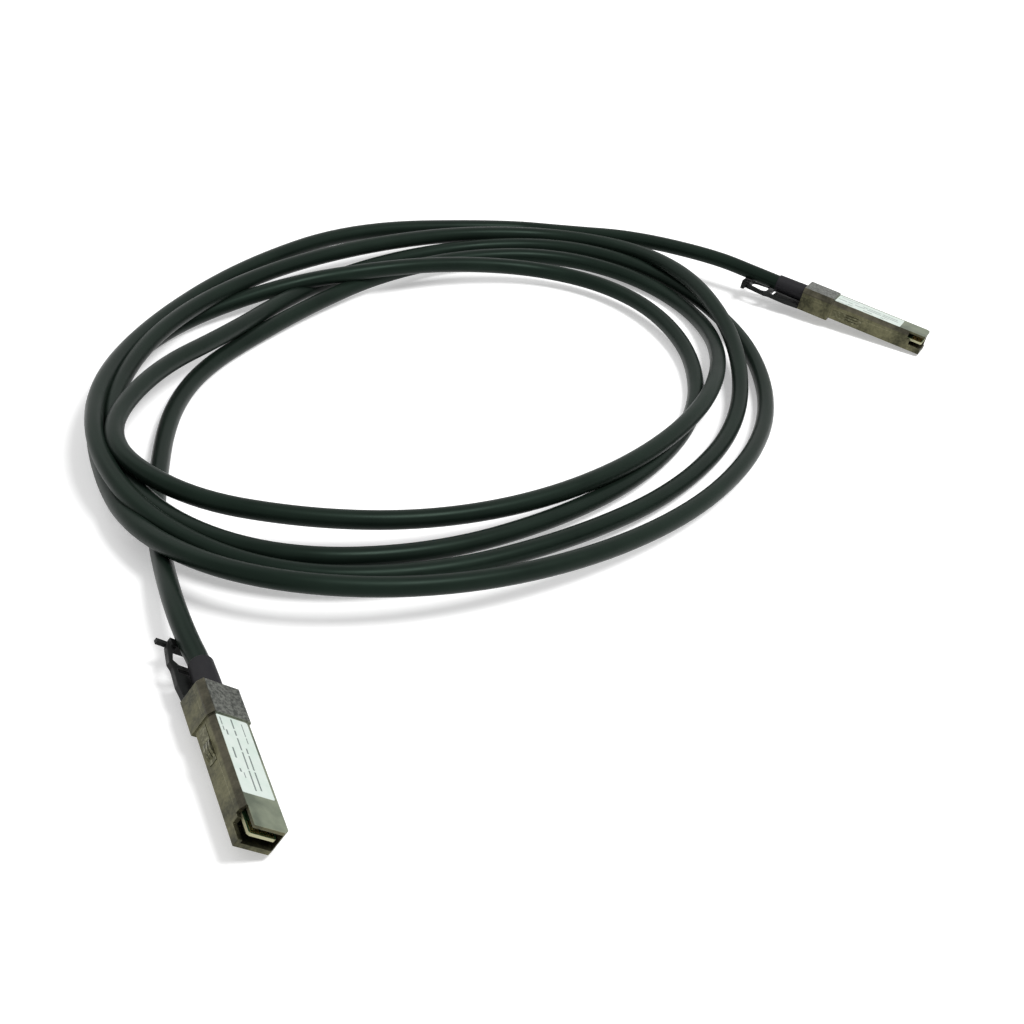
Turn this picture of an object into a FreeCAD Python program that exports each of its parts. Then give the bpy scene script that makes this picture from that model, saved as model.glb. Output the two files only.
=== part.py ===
import FreeCAD, Part
import math
import os
import re

from FreeCAD import Placement, Rotation, Vector
from Sketcher import Constraint

# A passive direct attach copper cable: two die-cast SFP+ plugs joined by one round twinax cord.
#
# Each plug is modelled in its own frame, which every piece of it shares: X runs from the cord
# towards the nose, Y to the plug's left and Z up. The origin lies under the middle of the stop
# plane, where the wide head meets the body that enters the cage. After that the plug is turned
# and set down where it lies on the table. The table is the plane z = 0.

doc = FreeCAD.newDocument("DirectAttachCable")
sheet = doc.addObject("Spreadsheet::Sheet", "Sizes")

SIZES = [
    # the body that enters the cage, and the head that stays outside it
    ("body_length", 45.0),
    ("body_width", 13.4),
    ("body_height", 8.5),
    ("head_length", 14.5),
    ("head_width", 14.2),
    ("head_rise", 0.5),
    ("head_drop", 1.5),
    ("long_bevel", 1.2),
    ("long_bevel_drop", 2.0),
    ("hidden_bevel", 0.5),
    # the walls of the two half shells
    ("floor_thickness", 1.6),
    ("roof_thickness", 1.3),
    ("rear_wall", 1.5),
    ("rail_half_gap", 3.9),
    # the mouth in the nose, which takes the host's connector
    ("mouth_depth", 10.0),
    ("mouth_width", 10.6),
    ("lip_thickness", 1.5),
    ("brow_thickness", 1.1),
    ("corner_notch_length", 7.5),
    ("corner_notch_width", 1.5),
    ("corner_chamfer", 1.8),
    ("side_notch_length", 6.0),
    ("side_notch_base", 2.6),
    # the circuit card and what it carries
    ("card_base", 4.0),
    ("card_thickness", 1.0),
    ("card_width", 9.2),
    ("card_start", 14.0),
    ("card_setback", 0.7),
    ("card_clearance", 0.15),
    ("card_corner", 0.6),
    ("pad_pitch", 0.8),
    ("pad_width", 0.54),
    ("pad_length", 4.4),
    ("pad_thickness", 0.06),
    ("pad_count", 10),
    ("pad_inset", 0.5),
    ("chip_length", 4.9),
    ("chip_width", 3.9),
    ("chip_height", 1.3),
    ("chip_standoff", 0.15),
    ("chip_leg_pitch", 1.27),
    ("chip_leg_width", 0.42),
    ("chip_leg_reach", 1.0),
    ("chip_place", 26.6),
    # the label in the cover's recess
    ("label_start", 0.4),
    ("label_length", 32.2),
    ("label_width", 11.0),
    ("label_thickness", 0.2),
    ("label_clearance", 0.05),
    # the cord, the ring that is crimped on its braid and the boot
    ("cord_diameter", 7.0),
    ("cord_height", 4.25),
    ("crimp_length", 9.0),
    ("crimp_bore", 5.2),
    ("crimp_reach", 1.5),
    ("collar_length", 1.2),
    ("collar_rise", 0.3),
    ("collar_place", 4.0),
    ("seat_clearance", 0.1),
    ("boot_length", 14.0),
    ("boot_diameter", 8.4),
    ("boot_taper", 0.5),
    ("boot_lip", 0.3),
    ("wire_diameter", 1.5),
    ("wire_spread", 0.85),
    ("wire_overlap", 3.0),
    # the slide, its slot under the head and its two arms under the body
    ("slot_floor", 0.3),
    ("slot_height", 0.8),
    ("slot_front_wall", 1.0),
    ("slot_clearance", 0.1),
    ("slide_thickness", 0.6),
    ("slide_width", 12.4),
    ("slide_length", 11.5),
    ("tongue_width", 5.2),
    ("tongue_length", 8.0),
    ("latch_travel", 2.5),
    ("travel_clearance", 0.3),
    ("arm_inner", 2.4),
    ("arm_width", 1.3),
    ("arm_thickness", 0.8),
    ("arm_clearance", 0.15),
    ("groove_depth", 1.05),
    ("riser_length", 2.4),
    ("wedge_length", 3.6),
    ("wedge_drop", 0.8),
    ("boss_back", 9.0),
    ("boss_front", 12.3),
    ("boss_width", 2.6),
    ("boss_drop", 1.0),
    ("boss_land", 0.9),
    # the two springs that push the slide home
    ("spring_place", 5.4),
    ("spring_diameter", 2.0),
    ("spring_wire", 0.34),
    ("spring_turns", 5),
    ("spring_room_width", 2.4),
    ("spring_room_height", 2.5),
    ("lug_thickness", 0.8),
    # the pull tab
    ("tab_gap", 0.3),
    ("tab_thickness", 1.7),
    ("tab_front_width", 12.0),
    ("tab_base_width", 14.0),
    ("tab_waist_width", 13.4),
    ("tab_loop_width", 14.8),
    ("tab_end_width", 12.4),
    ("tab_base_length", 13.0),
    ("tab_slit", 1.7),
    ("tab_bar", 2.2),
    ("tab_opening", 8.6),
    ("tab_strap", 1.7),
    ("tab_end_length", 3.6),
    ("tab_end_block", 9.4),
    ("tab_grip_width", 18.4),
    ("tab_grip_length", 1.6),
    # the sprung strips on the body's sides
    ("strip_start", 1.5),
    ("strip_length", 14.5),
    ("strip_base", 1.4),
    ("strip_height", 3.2),
    ("strip_thickness", 0.15),
    ("finger_start", 7.5),
    ("finger_length", 7.0),
    ("finger_bulge", 0.75),
    ("finger_width", 0.8),
    ("finger_pitch", 1.15),
    ("finger_count", 3),
    # the two screws that hold the shells together
    ("screw_diameter", 1.9),
    ("screw_head", 3.4),
    ("screw_head_height", 0.8),
    ("screw_length", 5.2),
    ("screw_first", 20.5),
    ("screw_pitch", 11.5),
    ("screw_column", 4.4),
    # the coil as one closed ring: an outer oval and an inner one, turned about the table's normal
    ("coil_x", -72.5),
    ("coil_y", 72.7),
    ("coil_long_reach", 167.0),
    ("coil_short_reach", 125.7),
    ("coil_end_radius", 104.0),
    ("coil_turn", 66.0),
    ("eye_x", -68.7),
    ("eye_y", 71.3),
    ("eye_long_reach", 124.0),
    ("eye_short_reach", 82.0),
    ("eye_end_radius", 64.0),
    ("eye_turn", 57.0),
    ("coil_height", 15.0),
    ("coil_bevel", 4.0),
    ("straight_run", 54.0),
    # where each plug lies on the table, and how it is turned: the way its nose points, nose down and
    # rolled on its long axis
    ("near_x", -113.56),
    ("near_y", -163.72),
    ("near_yaw", -63.91),
    ("near_pitch", 1.0),
    ("near_roll", -32.37),
    ("far_x", 96.4),
    ("far_y", 183.9),
    ("far_yaw", -22.35),
    ("far_pitch", 5.5),
    ("far_roll", -7.0),
]
for row, (alias, number) in enumerate(SIZES, 1):
    sheet.set(f"A{row}", alias)
    sheet.set(f"B{row}", str(number))
    sheet.setAlias(f"B{row}", alias)
doc.recompute()


def bound(text):
    """The expression with each size named on the sheet."""
    return re.sub(r"[a-z][a-z_]*", lambda word: "Sizes." + word.group(0), text)


def size(text):
    """What an expression over the sheet's sizes comes to now."""
    number = sheet.evalExpression(bound(text))
    return float(number)


def bind(thing, prop, text):
    thing.setExpression(prop, bound(text))


# ---- PartDesign ------------------------------------------------------------------------------


def new_body(node):
    body = doc.addObject("PartDesign::Body", node)
    body.Label = node
    return body


def profile(body, plane, start, corners):
    """A closed profile of straight sides on one of the body's own planes, moved to start along
    the plane's normal. The corners are pairs of expressions in the plane's own directions."""
    sketch = body.newObject("Sketcher::SketchObject", "Profile")
    origin = [item for item in body.Origin.OriginFeatures if item.Role == plane]
    sketch.AttachmentSupport = [(origin[0], "")]
    sketch.MapMode = "FlatFace"
    bind(sketch, "AttachmentOffset.Base.z", start)
    places = [Vector(size(across), size(up), 0) for across, up in corners]
    rules = []
    for i, place in enumerate(places):
        sketch.addGeometry(Part.LineSegment(place, places[(i + 1) % len(places)]), False)
    for i in range(len(places)):
        rules.append(Constraint("Coincident", i, 2, (i + 1) % len(places), 1))
    for i, place in enumerate(places):
        rules.append(Constraint("DistanceX", -1, 1, i, 1, place.x))
        rules.append(Constraint("DistanceY", -1, 1, i, 1, place.y))
    sketch.addConstraint(rules)
    for i, (across, up) in enumerate(corners):
        bind(sketch, f"Constraints[{len(places) + 2 * i}]", across)
        bind(sketch, f"Constraints[{len(places) + 2 * i + 1}]", up)
    return sketch


def disc(body, plane, start, across, up, diameter):
    """A round profile on one of the body's own planes."""
    sketch = body.newObject("Sketcher::SketchObject", "Disc")
    origin = [item for item in body.Origin.OriginFeatures if item.Role == plane]
    sketch.AttachmentSupport = [(origin[0], "")]
    sketch.MapMode = "FlatFace"
    bind(sketch, "AttachmentOffset.Base.z", start)
    centre = Vector(size(across), size(up), 0)
    sketch.addGeometry(Part.Circle(centre, Vector(0, 0, 1), size(diameter) / 2), False)
    sketch.addConstraint(
        [
            Constraint("DistanceX", -1, 1, 0, 3, centre.x),
            Constraint("DistanceY", -1, 1, 0, 3, centre.y),
            Constraint("Diameter", 0, size(diameter)),
        ]
    )
    bind(sketch, "Constraints[0]", across)
    bind(sketch, "Constraints[1]", up)
    bind(sketch, "Constraints[2]", diameter)
    return sketch


def pad(body, sketch, length):
    """Adds the profile's prism, grown along the plane's normal."""
    feature = body.newObject("PartDesign::Pad", "Pad")
    feature.Profile = sketch
    bind(feature, "Length", length)
    return feature


def cut(body, sketch, length):
    """Takes the profile's prism away, grown along the plane's normal."""
    feature = body.newObject("PartDesign::Pocket", "Pocket")
    feature.Profile = sketch
    feature.Reversed = True
    bind(feature, "Length", length)
    return feature


def turned(body, sketch):
    """Adds the profile's full turn about the line that its plane's first direction draws."""
    feature = body.newObject("PartDesign::Revolution", "Revolution")
    feature.Profile = sketch
    feature.ReferenceAxis = (sketch, ["H_Axis"])
    feature.Angle = 360
    return feature


def oblong(left, right, low, high):
    """The corners of a rectangle."""
    return [(left, low), (right, low), (right, high), (left, high)]


def mirrored_oblong(inner, outer, low, high, side):
    """The rectangle between two distances from the middle plane, on one side of it."""
    if side > 0:
        return oblong(inner, outer, low, high)
    return oblong(f"-({outer})", f"-({inner})", low, high)


def both_sides(half):
    """A closed outline from its left half, given from front to back, and the half's mirror image."""
    return half + [(along, f"-({across})") for along, across in reversed(half)]


ACROSS = "YZ_Plane"  # looks along X: the first direction is Y, the second Z
ALONG = "XZ_Plane"  # looks along Y: the first direction is X, the second Z, its normal is -Y
FLAT = "XY_Plane"  # looks along Z: the first direction is X, the second Y

SPLIT = "(card_base + card_thickness)"
CARD_FRONT = "(body_length - card_setback)"
MOUTH_BACK = "(body_length - mouth_depth)"
CEILING = "(body_height - roof_thickness)"
SHELL_BACK = "(-head_length)"
RING_BACK = "(-head_length - crimp_reach)"
RING_FRONT = "(-head_length - crimp_reach + crimp_length)"
ROOM_BACK = RING_FRONT
CORD_LOW = "(cord_height - cord_diameter / 2)"
CRIMP_BORE = "cord_diameter + 2 * seat_clearance"
SLOT_TOP = "(-slot_floor)"
SLOT_BASE = "(-slot_floor - slot_height)"
SLIDE_TOP = "(-slot_floor - slot_clearance)"
SLIDE_BASE = "(-slot_floor - slot_clearance - slide_thickness)"
SLIDE_FRONT = "(-slot_front_wall - travel_clearance)"
SLIDE_BACK = "(-slot_front_wall - travel_clearance - slide_length)"
GROOVE_BACK = "(-slot_front_wall - travel_clearance - riser_length - latch_travel - travel_clearance)"
GROOVE_FRONT = "(boss_front + travel_clearance)"
ARM_OUTER = "(arm_inner + arm_width)"
SPRING_BACK = "(-head_length + rear_wall)"
LUG_BACK = "(-slot_front_wall - travel_clearance - lug_thickness)"

NOSE_CORNER = [
    ("body_length - corner_chamfer", "body_width / 2"),
    ("body_length", "body_width / 2 - corner_chamfer"),
    ("body_length", "body_width / 2"),
]


# ---- the two half shells ---------------------------------------------------------------------


def lower_housing(end):
    """The die-cast tray: a floor, two side walls with rails for the card, and the head's lower half,
    which has the slot for the slide under it."""
    body = new_body("lower_housing_" + end)
    shell = oblong("-body_width / 2", "body_width / 2", "0", SPLIT)
    pad(body, profile(body, ACROSS, "0", shell), "body_length")
    head = oblong("-head_width / 2", "head_width / 2", "-head_drop", SPLIT)
    pad(body, profile(body, ACROSS, SHELL_BACK, head), "head_length")

    seat = "card_width / 2 + card_clearance"
    room = [
        (f"-({seat})", SPLIT),
        (f"-({seat})", "card_base"),
        ("-rail_half_gap", "card_base"),
        ("-rail_half_gap", "floor_thickness"),
        ("rail_half_gap", "floor_thickness"),
        ("rail_half_gap", "card_base"),
        (seat, "card_base"),
        (seat, SPLIT),
    ]
    cut(body, profile(body, ACROSS, ROOM_BACK, room), f"body_length - {ROOM_BACK}")
    mouth = oblong("-mouth_width / 2", "mouth_width / 2", "lip_thickness", SPLIT)
    cut(body, profile(body, ACROSS, MOUTH_BACK, mouth), "mouth_depth")
    crimp_seat(body)
    sides = oblong(f"-({CRIMP_BORE}) / 2", f"({CRIMP_BORE}) / 2", "cord_height", SPLIT)
    cut(body, profile(body, ACROSS, SHELL_BACK, sides), f"{ROOM_BACK} - {SHELL_BACK}")

    # the round column under the card takes each screw, whose head lies in a counterbore
    for number in range(2):
        place = f"screw_first + {number} * screw_pitch"
        pad(body, disc(body, FLAT, "floor_thickness / 2", place, "0", "screw_column"),
            "card_base - floor_thickness / 2")
    doc.recompute()
    for number in range(2):
        place = f"screw_first + {number} * screw_pitch"
        cut(body, disc(body, FLAT, "0", place, "0", "screw_diameter + 3 * seat_clearance"), "card_base")
        cut(body, disc(body, FLAT, "0", place, "0", "screw_head + 4 * seat_clearance"),
            "screw_head_height + seat_clearance")

    # the slot under the head is open at the back, where the slide's tongue leaves it
    slot_half = "slide_width / 2 + slot_clearance"
    slot = oblong(f"-({slot_half})", slot_half, SLOT_BASE, SLOT_TOP)
    cut(body, profile(body, ACROSS, SHELL_BACK, slot), "head_length - slot_front_wall")
    for side in (-1, 1):
        groove = mirrored_oblong("arm_inner - arm_clearance", f"{ARM_OUTER} + arm_clearance", SLOT_TOP,
                                 "groove_depth", side)
        cut(body, profile(body, ACROSS, GROOVE_BACK, groove), f"{GROOVE_FRONT} - {GROOVE_BACK}")
        room = mirrored_oblong(
            "spring_place - spring_room_width / 2",
            "spring_place + spring_room_width / 2",
            SLOT_TOP,
            "spring_room_height - slot_floor",
            side,
        )
        room_length = f"{SLIDE_FRONT} + travel_clearance - {SPRING_BACK}"
        cut(body, profile(body, ACROSS, SPRING_BACK, room), room_length)
    # the nose has one corner cut off, and the other side's wall is low there, so the card shows
    cut(body, profile(body, FLAT, "0", NOSE_CORNER), SPLIT)
    wall = mirrored_oblong("mouth_width / 2", "body_width / 2", "side_notch_base", SPLIT, -1)
    cut(body, profile(body, ACROSS, "body_length - side_notch_length", wall), "side_notch_length")

    # the boss that the cage's latch tab drops behind: upright at the back, a ramp to the nose
    boss = [
        ("boss_back", "0"),
        ("boss_back", "-boss_drop"),
        ("boss_back + boss_land", "-boss_drop"),
        ("boss_front", "0"),
    ]
    pad(body, profile(body, ALONG, "-boss_width / 2", boss), "boss_width")
    return body


def crimp_seat(body):
    """The bore that holds the crimp ring, and the groove in it for the ring's collar."""
    groove = "cord_diameter + 2 * collar_rise + 2 * seat_clearance"
    collar_back = f"{RING_BACK} + collar_place - seat_clearance"
    bore = disc(body, ACROSS, SHELL_BACK, "0", "cord_height", CRIMP_BORE)
    cut(body, bore, f"{ROOM_BACK} - {SHELL_BACK}")
    seat = disc(body, ACROSS, collar_back, "0", "cord_height", groove)
    cut(body, seat, "collar_length + 2 * seat_clearance")


def upper_cover(end):
    """The die-cast cover: bevelled along both long edges, recessed for the label and notched at one
    front corner, where the card shows."""
    body = new_body("upper_cover_" + end)
    pad(body, profile(body, ACROSS, "0", bevelled("body_width / 2", "body_height")), "body_length")
    head = bevelled("head_width / 2", "body_height + head_rise")
    pad(body, profile(body, ACROSS, SHELL_BACK, head), "head_length")

    room = oblong("-rail_half_gap", "rail_half_gap", SPLIT, CEILING)
    cut(body, profile(body, ACROSS, ROOM_BACK, room), f"body_length - {ROOM_BACK}")
    mouth = oblong("-mouth_width / 2", "mouth_width / 2", SPLIT, "body_height - brow_thickness")
    cut(body, profile(body, ACROSS, MOUTH_BACK, mouth), "mouth_depth")
    crimp_seat(body)

    recess = oblong("label_start", "label_start + label_length", "-label_width / 2", "label_width / 2")
    cut(body, profile(body, FLAT, "body_height - label_thickness", recess), "label_thickness + head_rise")
    notch = oblong("body_length - corner_notch_length", "body_length", "-body_width / 2",
                   "-body_width / 2 + corner_notch_width")
    cut(body, profile(body, FLAT, SPLIT, notch), f"body_height - {SPLIT}")
    cut(body, profile(body, FLAT, SPLIT, NOSE_CORNER), f"body_height - {SPLIT}")

    # the column that each screw bites in stands on the card's top face
    column = f"body_height - roof_thickness / 2 - {SPLIT}"
    for number in range(2):
        place = f"screw_first + {number} * screw_pitch"
        pad(body, disc(body, FLAT, SPLIT, place, "0", "screw_column"), column)
    doc.recompute()
    for number in range(2):
        place = f"screw_first + {number} * screw_pitch"
        pilot = disc(body, FLAT, SPLIT, place, "0", "screw_diameter + seat_clearance")
        cut(body, pilot, column)
    return body


def bevelled(half_width, top):
    """The cover's cross-section above the split: one long edge has a steep bevel, the other is broken."""
    return [
        (f"-({half_width})", SPLIT),
        (half_width, SPLIT),
        (half_width, f"{top} - hidden_bevel"),
        (f"{half_width} - hidden_bevel", top),
        (f"-({half_width}) + long_bevel", top),
        (f"-({half_width})", f"{top} - long_bevel_drop"),
    ]


def cover_screws(end):
    """Two pan-head screws with a cross slot, driven from below."""
    parts = []
    for number in range(2):
        body = new_body(f"screw_{number}_{end}")
        place = f"screw_first + {number} * screw_pitch"
        pad(body, disc(body, FLAT, "0", place, "0", "screw_head"), "screw_head_height")
        pad(body, disc(body, FLAT, "0", place, "0", "screw_diameter"), "screw_head_height + screw_length")
        for along, over in (("screw_head / 3", "screw_head / 12"), ("screw_head / 12", "screw_head / 3")):
            slot = oblong(f"{place} - {along}", f"{place} + {along}", f"-{over}", over)
            cut(body, profile(body, FLAT, "0", slot), "screw_head_height / 2")
        parts.append(body)
    return joined("cover_screws_" + end, parts)


# ---- label, card and wires -------------------------------------------------------------------


def box(name, low, high):
    """A Part box between two corners, each three expressions."""
    solid = doc.addObject("Part::Box", name)
    for prop, near, far in zip(("Length", "Width", "Height"), low, high):
        bind(solid, prop, f"({far}) - ({near})")
    for axis, near in zip("xyz", low):
        bind(solid, "Placement.Base." + axis, near)
    return solid


def joined(node, parts):
    """Separate solids that make one sub-part, as a Part compound."""
    group = doc.addObject("Part::Compound", node)
    group.Label = node
    group.Links = parts
    return group


def label(end):
    """The bare foil label in the cover's recess."""
    half = "label_width / 2 - label_clearance"
    front = "label_start + label_length - label_clearance"
    foil = box(
        "Foil",
        ("label_start + label_clearance", f"-({half})", "body_height - label_thickness"),
        (front, half, "body_height"),
    )
    return joined("label_" + end, [foil])


def paddle_card(end):
    """The circuit card, with cut front corners and a clear hole for each screw."""
    body = new_body("paddle_card_" + end)
    outline = [
        ("card_start", "-card_width / 2"),
        (f"{CARD_FRONT} - card_corner", "-card_width / 2"),
        (CARD_FRONT, "-card_width / 2 + card_corner"),
        (CARD_FRONT, "card_width / 2 - card_corner"),
        (f"{CARD_FRONT} - card_corner", "card_width / 2"),
        ("card_start", "card_width / 2"),
    ]
    pad(body, profile(body, FLAT, "card_base", outline), "card_thickness")
    for number in range(2):
        place = f"screw_first + {number} * screw_pitch"
        hole = disc(body, FLAT, "card_base", place, "0", "screw_diameter + 5 * seat_clearance")
        cut(body, hole, "card_thickness")
    return body


def edge_contacts(end):
    """A row of gold contacts on each face of the card's front edge."""
    pads = []
    for base in ("card_base - pad_thickness", SPLIT):
        for i in range(int(size("pad_count"))):
            middle = f"({i} - (pad_count - 1) / 2) * pad_pitch"
            back = f"{CARD_FRONT} - pad_inset - pad_length"
            pads.append(box(
                "Contact",
                (back, f"{middle} - pad_width / 2", base),
                (f"{CARD_FRONT} - pad_inset", f"{middle} + pad_width / 2", f"{base} + pad_thickness"),
            ))
    return joined("edge_contacts_" + end, pads)


def memory_chip(end):
    """The small identification memory, with four legs along each side, on the card's top face."""
    low = ("chip_place - chip_length / 2", "-chip_width / 2", f"{SPLIT} + chip_standoff")
    high = ("chip_place + chip_length / 2", "chip_width / 2", f"{SPLIT} + chip_standoff + chip_height")
    parts = [box("Moulding", low, high)]
    for side in (-1, 1):
        for i in range(4):
            middle = f"chip_place + ({i} - 3 / 2) * chip_leg_pitch"
            rows = mirrored_oblong("chip_width / 2", "chip_width / 2 + chip_leg_reach", SPLIT,
                                   f"{SPLIT} + chip_height / 2", side)
            parts.append(box(
                "Leg",
                (f"{middle} - chip_leg_width / 2", rows[0][0], rows[0][1]),
                (f"{middle} + chip_leg_width / 2", rows[2][0], rows[2][1]),
            ))
    fused = doc.addObject("Part::MultiFuse", "memory_chip_" + end)
    fused.Label = "memory_chip_" + end
    fused.Shapes = parts
    return fused


def wire_pairs(end):
    """The stripped conductors, as eight-sided rods: two run from the crimp ring over the card, two
    run under it."""
    rods = []
    for face in ("card_base - wire_diameter / 2 - seat_clearance / 5",
                 f"{SPLIT} + wire_diameter / 2 + seat_clearance / 5"):
        for side in (-1, 1):
            rod = doc.addObject("Part::Prism", "Wire")
            rod.Polygon = 8
            bind(rod, "Circumradius", "wire_diameter / 2")
            bind(rod, "Height", f"card_start + wire_overlap - {RING_BACK}")
            rod.Placement = Placement(Vector(), Rotation(Vector(0, 1, 0), 90))
            bind(rod, "Placement.Base.x", RING_BACK)
            bind(rod, "Placement.Base.y", f"{side} * wire_spread")
            bind(rod, "Placement.Base.z", face)
            rods.append(rod)
    return joined("wire_pairs_" + end, rods)


# ---- crimp ring and boot ---------------------------------------------------------------------


def crimp_ring(end):
    """The ring that is crimped on the cord's braid. Its collar keeps it in the head."""
    body = new_body("crimp_ring_" + end)
    sketch = profile(
        body,
        ALONG,
        "0",
        [
            (RING_BACK, "crimp_bore / 2"),
            (RING_FRONT, "crimp_bore / 2"),
            (RING_FRONT, "cord_diameter / 2"),
            (f"{RING_BACK} + collar_place + collar_length", "cord_diameter / 2"),
            (f"{RING_BACK} + collar_place + collar_length", "cord_diameter / 2 + collar_rise"),
            (f"{RING_BACK} + collar_place", "cord_diameter / 2 + collar_rise"),
            (f"{RING_BACK} + collar_place", "cord_diameter / 2"),
            (RING_BACK, "cord_diameter / 2"),
        ],
    )
    bind(sketch, "AttachmentOffset.Base.y", "cord_height")
    turned(body, sketch)
    return body


def boot(end):
    """The moulded strain relief: a sleeve that tapers away from the head, with its back edge broken
    and the cord's bore through it."""
    body = new_body("boot_" + end)
    back = "(-head_length - boot_length)"
    sketch = profile(
        body,
        ALONG,
        "0",
        [
            (SHELL_BACK, "cord_diameter / 2"),
            (SHELL_BACK, "boot_diameter / 2"),
            (f"{back} + boot_lip", "(boot_diameter - boot_taper) / 2"),
            (back, "(boot_diameter - boot_taper) / 2 - boot_lip / 2"),
            (back, "cord_diameter / 2"),
        ],
    )
    bind(sketch, "AttachmentOffset.Base.y", "cord_height")
    turned(body, sketch)
    return body


# ---- the latch release -----------------------------------------------------------------------


def latch_slide(end):
    """The sheet-steel slide: a plate in the slot, a tongue in the pull tab, a lug for each spring and
    two arms that run beside the boss and end in wedges."""
    body = new_body("latch_slide_" + end)
    outline = [
        (SLIDE_FRONT, "-slide_width / 2"),
        (SLIDE_FRONT, "slide_width / 2"),
        (SLIDE_BACK, "slide_width / 2"),
        (SLIDE_BACK, "tongue_width / 2"),
        (f"{SLIDE_BACK} - tongue_length", "tongue_width / 2"),
        (f"{SLIDE_BACK} - tongue_length", "-tongue_width / 2"),
        (SLIDE_BACK, "-tongue_width / 2"),
        (SLIDE_BACK, "-slide_width / 2"),
    ]
    pad(body, profile(body, FLAT, SLIDE_BASE, outline), "slide_thickness")
    low = "(groove_depth - arm_clearance - arm_thickness)"
    high = "(groove_depth - arm_clearance)"
    arm = [
        (SLIDE_FRONT, SLIDE_BASE),
        (SLIDE_FRONT, low),
        ("boss_front - wedge_length", low),
        ("boss_front - wedge_length / 3", "-wedge_drop"),
        ("boss_front", "-wedge_drop"),
        ("boss_front", high),
        (f"{SLIDE_FRONT} - riser_length", high),
        (f"{SLIDE_FRONT} - riser_length", SLIDE_BASE),
    ]
    for side in (-1, 1):
        start = "-arm_inner - arm_width" if side > 0 else "arm_inner"
        pad(body, profile(body, ALONG, start, arm), "arm_width")
        lug = mirrored_oblong("spring_place - spring_diameter / 2", "slide_width / 2", SLIDE_BASE,
                              "spring_room_height - slot_floor - travel_clearance", side)
        pad(body, profile(body, ACROSS, LUG_BACK, lug), "lug_thickness")
    return body


def pull_tab(end):
    """The moulded tab: a flat loop on the slide's tongue that lies under the cord. It has a slit and
    a finger opening, and ends in a block with a grip to each side."""
    body = new_body("pull_tab_" + end)
    top = "(cord_height - boot_diameter / 2 - tab_gap)"
    low = f"({top} - tab_thickness)"
    front = f"({SHELL_BACK} - travel_clearance)"
    slit_front = f"({front} - tab_base_length)"
    slit_back = f"({slit_front} - tab_slit)"
    loop_front = f"({slit_back} - tab_bar)"
    loop_back = f"({loop_front} - tab_opening)"
    end_back = f"({loop_back} - tab_end_length)"
    outline = [
        (front, "tab_front_width / 2"),
        (f"{front} - tab_base_length / 2", "tab_base_width / 2"),
        (slit_front, "tab_waist_width / 2"),
        (slit_back, "tab_waist_width / 2"),
        (loop_front, "tab_loop_width / 2"),
        (loop_back, "tab_end_width / 2"),
        (end_back, "tab_end_block / 2"),
    ]
    pad(body, profile(body, FLAT, low, both_sides(outline)), "tab_thickness")
    block = both_sides([(loop_back, "tab_end_block / 2"), (end_back, "tab_end_block / 2")])
    block_low = f"({low} - tab_thickness / 4)"
    pad(body, profile(body, FLAT, block_low, block), f"{CORD_LOW} - tab_gap - {block_low}")
    grip_front = f"({loop_back} - tab_end_length / 2 + tab_grip_length / 2)"
    grip = both_sides([
        (grip_front, "tab_grip_width / 2"),
        (f"{grip_front} - tab_grip_length", "tab_grip_width / 2"),
    ])
    pad(body, profile(body, FLAT, low, grip), "tab_thickness * 0.8")

    slit = both_sides([
        (slit_front, "tab_waist_width / 2 - tab_strap"),
        (slit_back, "tab_waist_width / 2 - tab_strap"),
    ])
    cut(body, profile(body, FLAT, low, slit), "tab_thickness")
    opening = both_sides([
        (loop_front, "tab_loop_width / 2 - 2 * tab_strap"),
        (f"{loop_front} - tab_strap", "tab_loop_width / 2 - tab_strap"),
        (f"{loop_back} + tab_strap", "tab_end_width / 2 - tab_strap"),
        (loop_back, "tab_end_width / 2 - 2 * tab_strap"),
    ])
    cut(body, profile(body, FLAT, low, opening), "tab_thickness")
    pocket = oblong("-tongue_width / 2", "tongue_width / 2", SLIDE_BASE, SLIDE_TOP)
    tongue_back = f"({SLIDE_BACK} - tongue_length)"
    cut(body, profile(body, ACROSS, tongue_back, pocket), f"{front} - {tongue_back}")
    return body


def return_springs(end):
    """Two square-wire compression springs between the head's rear wall and the slide's lugs. Each
    turn of the wire is six short straight lengths."""
    coils = []
    wire = size("spring_wire")
    radius = size("spring_diameter - spring_wire") / 2
    start = size(SPRING_BACK) + wire
    reach = size(LUG_BACK) - wire - start
    lift = size(f"{SLOT_TOP} + seat_clearance + spring_diameter / 2")
    steps = 6 * int(size("spring_turns"))
    for side in (-1, 1):
        points = []
        for i in range(steps + 1):
            angle = i * math.pi / 3
            points.append(Vector(
                start + reach * i / steps,
                side * size("spring_place") + radius * math.cos(angle),
                lift + radius * math.sin(angle),
            ))
        path = Part.makePolygon(points)
        along = points[1] - points[0]
        flat = Vector(0, 1, 0)
        up = along.cross(flat).normalize()
        corners = [points[0] + flat * (wire / 2 * a) + up * (wire / 2 * b)
                   for a, b in ((-1, -1), (1, -1), (1, 1), (-1, 1), (-1, -1))]
        sweep = Part.BRepOffsetAPI.MakePipeShell(path)
        sweep.setTransitionMode(1)
        sweep.add(Part.makePolygon(corners))
        sweep.build()
        sweep.makeSolid()
        coils.append(sweep.shape())
    feature = doc.addObject("Part::Feature", "return_springs_" + end)
    feature.Label = "return_springs_" + end
    feature.Shape = Part.makeCompound(coils)
    return feature


# ---- the sprung strips -----------------------------------------------------------------------


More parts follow.
